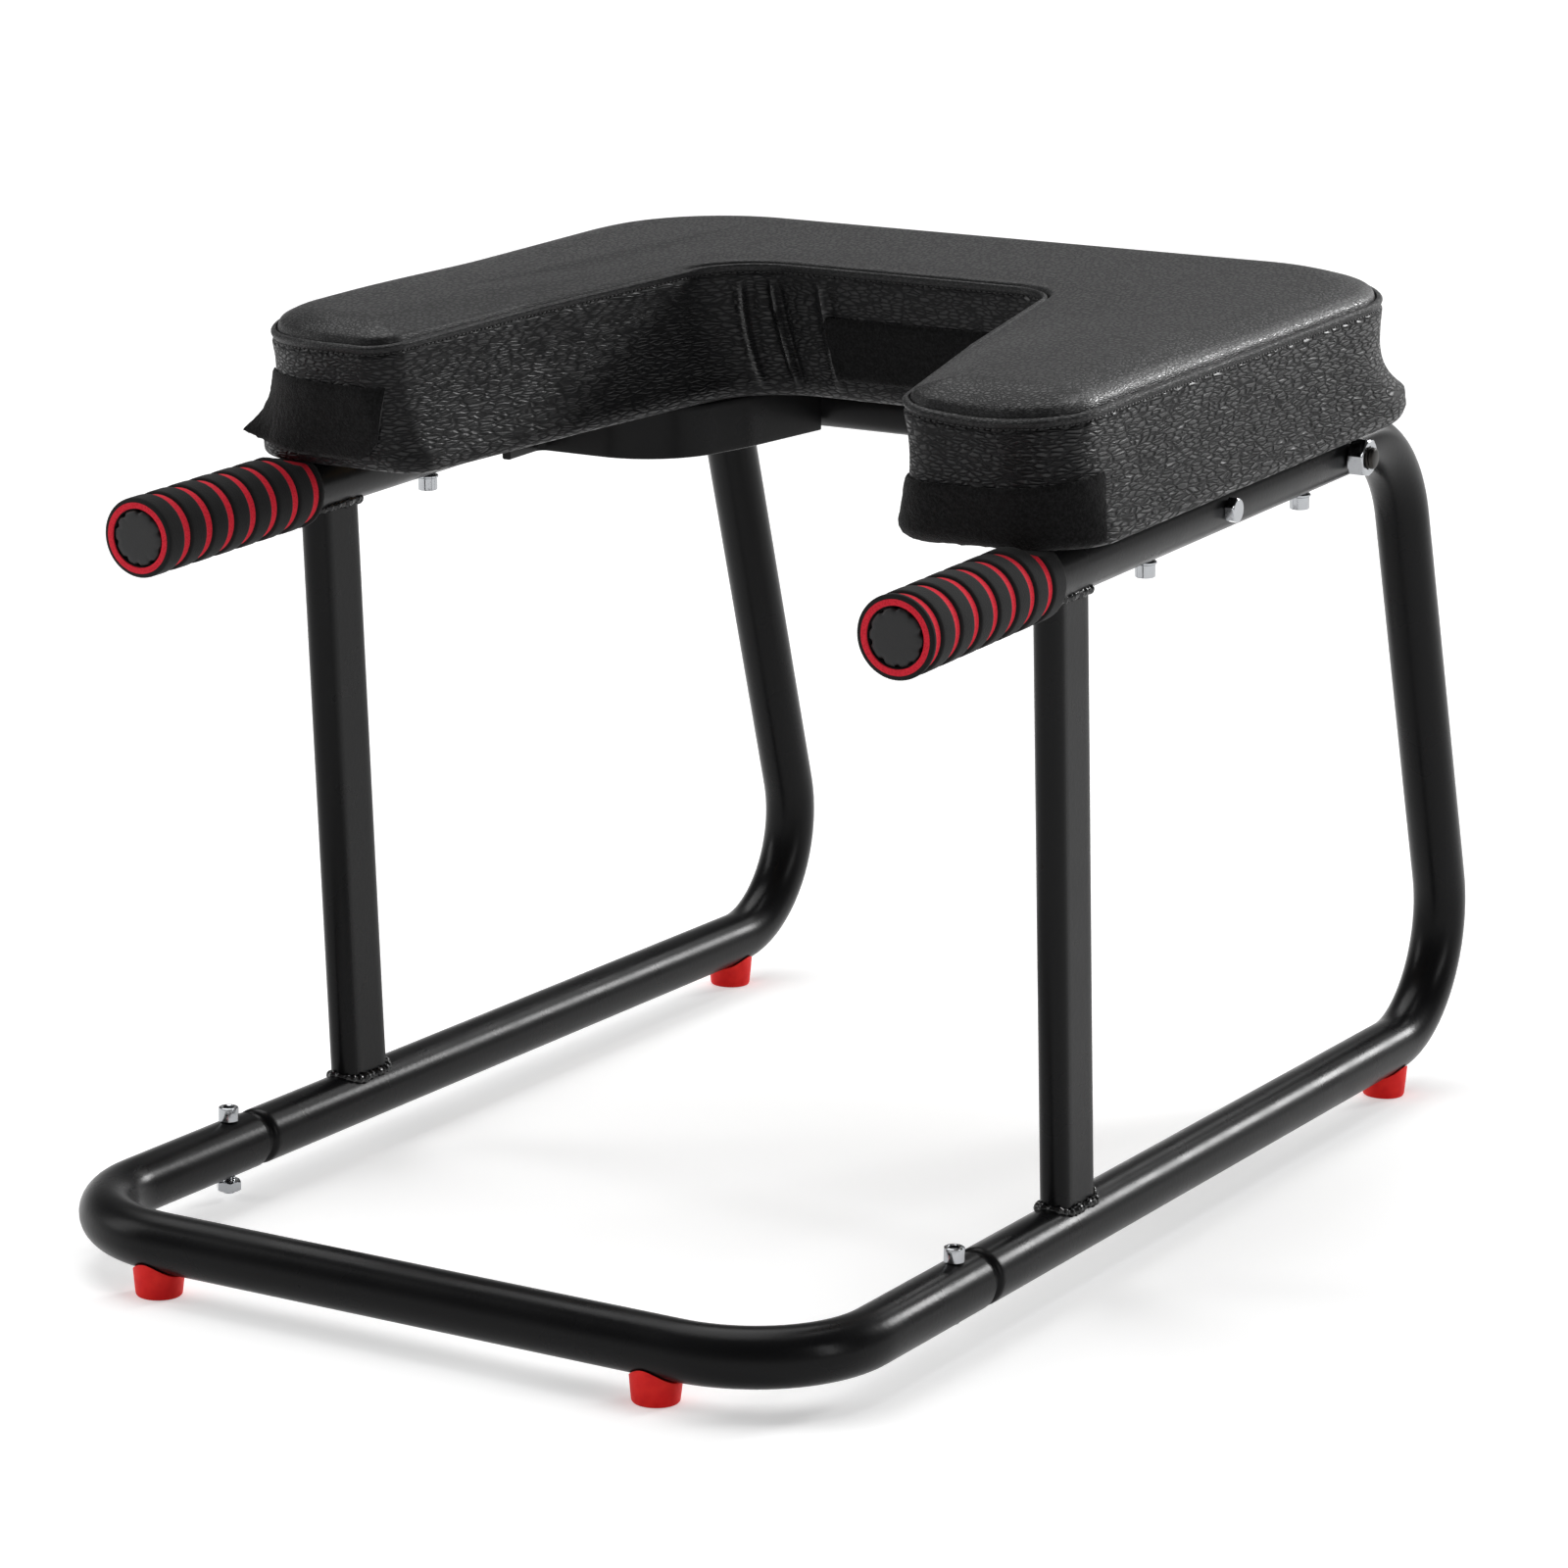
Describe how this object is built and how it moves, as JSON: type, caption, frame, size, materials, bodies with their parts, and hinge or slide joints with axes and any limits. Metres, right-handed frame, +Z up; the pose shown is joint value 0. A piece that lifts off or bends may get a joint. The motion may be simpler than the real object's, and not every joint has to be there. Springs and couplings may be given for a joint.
{
  "type": "yoga headstand stool",
  "caption": "Headstand stool: U-shaped black padded shoulder rest on a bolted frame of bent black tube, with ringed foam hand grips and red rubber feet.",
  "frame": {"origin": "on the floor, under the middle of the stool's outer box", "axes": "+Z up, +Y to the back of the stool, away from the hand grips, +X to the right as seen from the grips"},
  "size_m": [0.423, 0.6431, 0.4016],
  "materials": {
    "frame_tube": "satin black powder coat",
    "bright_fasteners": "bright nickel-chrome plate",
    "zinc_fasteners": "plain zinc plate",
    "grip_foam": "closed-cell foam, black skin over a red core that shows in the ring grooves and at the front face",
    "handle_plug": "moulded black plastic",
    "foot_rubber": "matt red rubber",
    "seat_cover": "black polyurethane leather, smooth top panel, pebbled side walls",
    "seat_foam": "open-cell upholstery foam",
    "seat_board": "raw plywood",
    "loop_pile": "black brushed loop-fastener pile"
  },
  "bodies": {
    "root": {"left_side_frame": "frame_tube", "left_front_leg": "frame_tube", "left_support_arm": "frame_tube", "left_cross_stud": "frame_tube", "left_cross_nut": "bright_fasteners", "left_arm_bolt": "bright_fasteners", "left_arm_nut": "bright_fasteners", "left_joint_bolt": "bright_fasteners", "left_grip": "grip_foam", "left_handle_plug": "handle_plug", "left_loop_patch": "loop_pile", "front_left_foot": "foot_rubber", "front_left_seat_bolt": "bright_fasteners", "front_left_tee_nut": "zinc_fasteners", "rear_left_foot": "foot_rubber", "rear_left_seat_bolt": "bright_fasteners", "rear_left_tee_nut": "zinc_fasteners", "right_side_frame": "frame_tube", "right_front_leg": "frame_tube", "right_support_arm": "frame_tube", "right_cross_stud": "frame_tube", "right_cross_nut": "bright_fasteners", "right_arm_bolt": "bright_fasteners", "right_arm_nut": "bright_fasteners", "right_joint_bolt": "bright_fasteners", "right_grip": "grip_foam", "right_handle_plug": "handle_plug", "right_loop_patch": "loop_pile", "front_right_foot": "foot_rubber", "front_right_seat_bolt": "bright_fasteners", "front_right_tee_nut": "zinc_fasteners", "rear_right_foot": "foot_rubber", "rear_right_seat_bolt": "bright_fasteners", "rear_right_tee_nut": "zinc_fasteners", "left_joint_nut": "bright_fasteners", "front_floor_tube": "frame_tube", "rear_cross_tube": "frame_tube", "rear_loop_patch": "loop_pile", "seat_board": "seat_board", "seat_foam": "seat_foam", "seat_cover": "seat_cover"}
  },
  "joints": []
}
